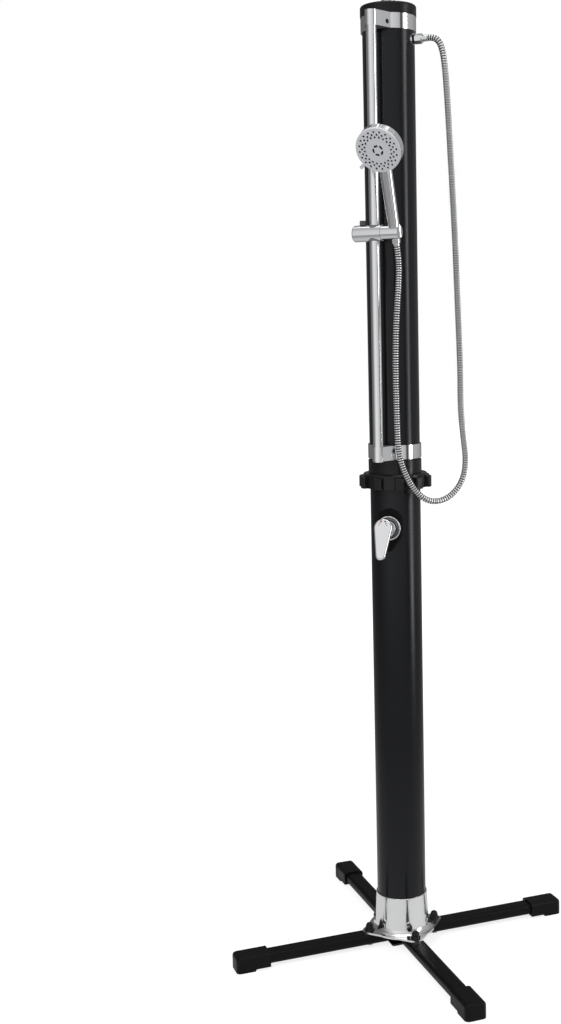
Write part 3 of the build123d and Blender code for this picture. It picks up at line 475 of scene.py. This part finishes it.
def makeStrap(band, settings):
    base = band["base"]
    top = base + settings["height"]
    past = settings["cutPast"]
    bm = bmesh.new()
    prism(bm, strapOutline(settings["ring"], settings["tip"], settings), base, top)
    strap = meshObject(band["node"] + "_band", bm, finish["chrome"])
    bm = bmesh.new()
    prism(bm, strapOutline(settings["ringBore"], settings["tipBore"], settings), base - past, top + past)
    cutPiece(strap, bm)
    ring = settings["ring"]
    cutPiece(strap, crossRod(bmesh.new(), settings["screwHole"], -ring, ring, band, settings,
                             settings["holeSides"]))
    finishCut(strap, band["node"], settings)


def spacerHalf(y, settings):
    flank = math.radians(settings["flank"])
    return settings["spacerTip"] / math.cos(flank) + (settings["railAt"] - y) * math.tan(flank)


def makeSpacer(band, settings):
    base = band["base"]
    back, front = settings["spacerFrom"], settings["spacerTo"]
    halfBack, halfFront = spacerHalf(back, settings), spacerHalf(front, settings)
    corners = [(halfBack, -back), (-halfBack, -back), (-halfFront, -front), (halfFront, -front)]
    bm = bmesh.new()
    prism(bm, corners, base, base + settings["height"])
    spacer = meshObject(band["node"] + "_spacer", bm, finish["innerGrey"])
    middle = base + settings["height"] / 2
    for radius, y, sides in ((settings["ringBore"], 0, settings["tubeCutSides"]),
                             (settings["tipBore"], -settings["railAt"], settings["railCutSides"])):
        place = Matrix.Translation((0, y, middle))
        cutPiece(spacer, rod(bmesh.new(), radius, settings["cutHeight"], place, sides))
    reach, seat, hole = settings["cutReach"], settings["seat"], settings["screwHole"]
    shank = settings["screwShank"] + settings["shankGap"]
    for radius, low, high in ((shank, -reach, reach), (hole, seat, reach), (hole, -reach, -seat)):
        cutPiece(spacer, crossRod(bmesh.new(), radius, low, high, band, settings, settings["holeSides"]))
    finishCut(spacer, "strap_spacers", settings)


def makeStrapScrew(band, settings):
    seat, head = settings["seat"], settings["screwHead"]
    end = seat + settings["headHeight"]
    bm = bmesh.new()
    crossRod(bm, settings["screwShank"], -seat, seat, band, settings, settings["shankSides"])
    crossRod(bm, head, seat, end, band, settings, settings["holeSides"])
    crossRod(bm, head, -end, -seat, band, settings, settings["nutSides"])
    screw = meshObject(band["node"] + "_screw", bm, finish["screwBlack"], smooth=False)
    finishCut(screw, "strap_screws", settings)


for band in straps["bands"]:
    makeStrap(band, straps)
    makeSpacer(band, straps)
    makeStrapScrew(band, straps)
print("straps made")

# spray face: soft rubber rims round the nozzles and dark linings in the middle slots

sprayFace = {
    "middle": (0.0455, -0.169, 1.746),
    "tilt": 32,
    "rings": [(0.0285, 0.0), (0.0339, 0.5), (0.0397, 0.0)],  # radius and shift, in steps of one nozzle
    "perRing": 20,
    "rimRadius": 0.0019,
    "rimHeight": 0.0003,
    "rimSides": 20,
    "slots": 5,
    "slotTurn": 18,
    "slotRing": 0.0095,
    "slotLength": 0.0088,
    "slotWidth": 0.0037,
    "slotSteps": 8,
}


def makeSprayFace(settings):
    face = Matrix.Translation(settings["middle"])
    face = face @ Matrix.Rotation(math.radians(90 + settings["tilt"]), 4, "X")
    height = settings["rimHeight"]
    bm = bmesh.new()
    for radius, shift in settings["rings"]:
        for i in range(settings["perRing"]):
            turn = 2 * math.pi * (i + shift) / settings["perRing"]
            spot = Matrix.Translation((radius * math.cos(turn), radius * math.sin(turn), height / 2))
            rod(bm, settings["rimRadius"], height, face @ spot, settings["rimSides"])
    corner = settings["slotWidth"] / 2
    half = settings["slotLength"] / 2 - corner
    outline = arcPoints((half, 0), corner, -90, 90, settings["slotSteps"])
    outline += arcPoints((-half, 0), corner, 90, 270, settings["slotSteps"])
    for i in range(settings["slots"]):
        degrees = 360 / settings["slots"] * i + settings["slotTurn"]
        outwards = Matrix.Translation((0, settings["slotRing"], 0))
        place = face @ Matrix.Rotation(math.radians(degrees), 4, "Z") @ outwards
        bmesh.ops.transform(bm, verts=prism(bm, outline, 0, height), matrix=place)
    piece = meshObject("nozzleRims", bm, finish["rubber"], smooth=False)
    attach(piece, "spray_face")


makeSprayFace(sprayFace)
print("spray face made")

# lever: raised coloured dots for warm and cold near its top

lever = {
    "turn": 8.5,
    "height": 0.966,
    "pivot": 0.086,
    "tilt": 24,
    "face": 0.0288,
    # across, up and radius
    "dots": [(0.0046, 0.0108, 0.0021), (0.0068, 0.0062, 0.0014), (0.0086, 0.0024, 0.0011)],
    "dotHeight": 0.0002,
    "dotTaper": 0.9,
    "dotSides": 24,
}


def leverFrame(settings):
    turn = Matrix.Rotation(math.radians(settings["turn"]), 4, "Z")
    place = Matrix.Translation((0, -settings["pivot"], settings["height"]))
    return turn @ place @ Matrix.Rotation(math.radians(90 - settings["tilt"]), 4, "X")


def makeLeverDots(settings):
    height = settings["dotHeight"]
    for name, side, look in (("warmDots", -1, "dotRed"), ("coldDots", 1, "dotGreen")):
        bm = bmesh.new()
        for x, y, radius in settings["dots"]:
            spot = Matrix.Translation((side * x, y, settings["face"] + height / 2))
            bmesh.ops.create_cone(bm, cap_ends=True, segments=settings["dotSides"], radius1=radius,
                                  radius2=radius * settings["dotTaper"], depth=height,
                                  matrix=leverFrame(settings) @ spot)
        piece = meshObject(name, bm, finish[look], smooth=False)
        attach(piece, "mixer_handle")


makeLeverDots(lever)
print("lever dots made")

# inlet: the thread of the hose connection at the back

inletThread = {
    "height": 0.165,
    "start": 0.0645,
    "end": 0.0795,
    "pitch": 0.0018,
    "crest": 0.01325,
    "root": 0.0126,
    "sides": 64,
}


def makeInletThread(settings):
    pitch, root, crest = settings["pitch"], settings["root"], settings["crest"]
    turns = int((settings["end"] - settings["start"]) / pitch)
    spin = Matrix.Rotation(math.radians(-90), 4, "X")
    bm = bmesh.new()
    for i in range(turns):
        y = settings["start"] + pitch * (i + 0.5)
        for shift, r1, r2 in ((-0.25, root, crest), (0.25, crest, root)):  # up one flank and down the other
            place = Matrix.Translation((0, y + shift * pitch, settings["height"]))
            bmesh.ops.create_cone(bm, cap_ends=False, segments=settings["sides"], radius1=r1, radius2=r2,
                                  depth=pitch / 2, matrix=place @ spin)
    piece = meshObject("inletThreadRidges", bm, finish["brass"])
    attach(piece, "stand")


makeInletThread(inletThread)
print("inlet thread made")

# studio: a white floor and surround, soft lamps, and a ring of light and dark that only reflections see

studio = {
    "floor": {
        "diffuse": 0.3,
        "rough": 0.9,
        "shine": 0.1,
        "size": 14,
        "drop": 0.0005,
        # glow by distance from the tube, first as the camera sees it and then as the chrome does
        "seen": {"distance": (1.2, 3.4), "glow": (0.8, 1.0)},
        "mirrored": {"distance": (0.3, 1.6), "glow": (0.34, 0.0)},
    },
    "surround": 0.45,
    "flags": {
        "radius": 3.6,
        "height": 5.0,
        "lift": 0.01,
        "sides": 96,
        # brightness round the circle, counted from -X through -Y
        "glow": [
            (0.0, 0.14), (0.08, 0.18), (0.14, 0.44), (0.2, 0.72), (0.25, 0.8), (0.33, 0.66),
            (0.41, 0.54), (0.448, 0.44), (0.456, 0.05), (0.478, 0.05), (0.486, 0.6), (0.57, 0.42),
            (0.66, 0.34), (0.8, 0.14), (1.0, 0.14),
        ],
    },
    "lamps": [
        {"name": "keyPanel", "place": (-0.55, -2.45, 2.85), "aim": (0, 0, 1.0), "size": (1.5, 1.5),
         "power": 56, "mirrored": False},
        {"name": "edgeStrip", "place": (3.01, 0.45, 1.3), "aim": (0, 0, 1.3), "size": (0.75, 3.4),
         "power": 34, "mirrored": True},
        {"name": "fillPanel", "place": (2.4, -2.4, 1.6), "aim": (0, 0, 1.1), "size": (0.7, 2.2),
         "power": 18, "mirrored": False},
        {"name": "topPanel", "place": (0.2, -0.4, 4.4), "aim": (0, 0, 1.0), "size": (2.6, 2.6),
         "power": 26, "mirrored": True},
        {"name": "backPanel", "place": (-0.8, 3.0, 2.0), "aim": (0, 0, 1.1), "size": (1.6, 2.2),
         "power": 30, "mirrored": False},
    ],
}


def makeFloor(settings):
    material, tree, shader = newMaterial("whiteFloor")
    diffuse = settings["diffuse"]
    shader.inputs["Base Color"].default_value = (diffuse, diffuse, diffuse, 1)
    shader.inputs["Roughness"].default_value = settings["rough"]
    shader.inputs["Specular IOR Level"].default_value = settings["shine"]
    shader.inputs["Emission Color"].default_value = (1, 1, 1, 1)
    place = tree.nodes.new("ShaderNodeTexCoord")
    reach = tree.nodes.new("ShaderNodeVectorMath")
    reach.operation = "LENGTH"
    tree.links.new(place.outputs["Object"], reach.inputs[0])
    rays = tree.nodes.new("ShaderNodeLightPath")
    total = tree.nodes.new("ShaderNodeMath")
    total.operation = "ADD"
    kinds = {"Is Camera Ray": settings["seen"], "Is Glossy Ray": settings["mirrored"]}
    for socket, (rayKind, way) in zip(total.inputs, kinds.items()):
        glow = tree.nodes.new("ShaderNodeMath")
        glow.operation = "MULTIPLY"
        tree.links.new(rays.outputs[rayKind], glow.inputs[0])
        fade = mapRange(tree, reach.outputs["Value"], way["distance"], way["glow"])
        tree.links.new(fade, glow.inputs[1])
        tree.links.new(glow.outputs["Value"], socket)
    tree.links.new(total.outputs["Value"], shader.inputs["Emission Strength"])
    bm = bmesh.new()
    bmesh.ops.create_grid(bm, x_segments=1, y_segments=1, size=settings["size"])
    floor = meshObject("studioFloor", bm, material, smooth=False)
    floor.location.z = -settings["drop"]


def makeFlags(settings):
    material, tree, shader = newMaterial("darkFlag")
    shader.inputs["Base Color"].default_value = (0, 0, 0, 1)
    shader.inputs["Specular IOR Level"].default_value = 0
    shader.inputs["Emission Strength"].default_value = 1
    place = tree.nodes.new("ShaderNodeTexCoord")
    around = tree.nodes.new("ShaderNodeTexGradient")
    around.gradient_type = "RADIAL"
    glow = tree.nodes.new("ShaderNodeValToRGB")
    stops = glow.color_ramp.elements
    while len(stops) < len(settings["glow"]):
        stops.new(0.5)
    for stop, (turn, level) in zip(stops, settings["glow"]):
        stop.position = turn
        stop.color = (level, level, level, 1)
    tree.links.new(place.outputs["Object"], around.inputs["Vector"])
    tree.links.new(around.outputs["Fac"], glow.inputs["Fac"])
    tree.links.new(glow.outputs["Color"], shader.inputs["Emission Color"])
    radius, height = settings["radius"], settings["height"]
    bm = bmesh.new()
    bmesh.ops.create_cone(bm, cap_ends=False, segments=settings["sides"], radius1=radius, radius2=radius,
                          depth=height, matrix=Matrix.Translation((0, 0, height / 2 + settings["lift"])))
    flags = meshObject("studioFlags", bm, material)
    flags.visible_camera = False
    flags.visible_diffuse = False
    flags.visible_transmission = False
    flags.visible_shadow = False


def makeLamp(lamp):
    data = bpy.data.lights.new(lamp["name"], "AREA")
    data.shape = "RECTANGLE"
    data.size, data.size_y = lamp["size"]
    data.energy = lamp["power"]
    holder = newObject(lamp["name"], data)
    holder.visible_glossy = lamp["mirrored"]
    aim = Vector(lamp["aim"]) - Vector(lamp["place"])
    turn = aim.to_track_quat("-Z", "Y").to_matrix().to_4x4()
    holder.matrix_world = Matrix.Translation(lamp["place"]) @ turn


def makeSurround(strength):
    world = bpy.data.worlds.new("studioWorld")
    bpy.context.scene.world = world
    world.use_nodes = True
    tree = world.node_tree
    background = tree.nodes["Background"]
    background.inputs["Color"].default_value = (1, 1, 1, 1)
    rays = tree.nodes.new("ShaderNodeLightPath")
    seen = tree.nodes.new("ShaderNodeMath")
    seen.operation = "MAXIMUM"
    tree.links.new(rays.outputs["Is Camera Ray"], seen.inputs[0])
    tree.links.new(rays.outputs["Is Transmission Ray"], seen.inputs[1])
    level = mapRange(tree, seen.outputs["Value"], (0, 1), (strength, 1))
    tree.links.new(level, background.inputs["Strength"])


makeFloor(studio["floor"])
makeFlags(studio["flags"])
for lamp in studio["lamps"]:
    makeLamp(lamp)
makeSurround(studio["surround"])
bpy.context.scene.view_settings.view_transform = "Standard"
print("studio made")
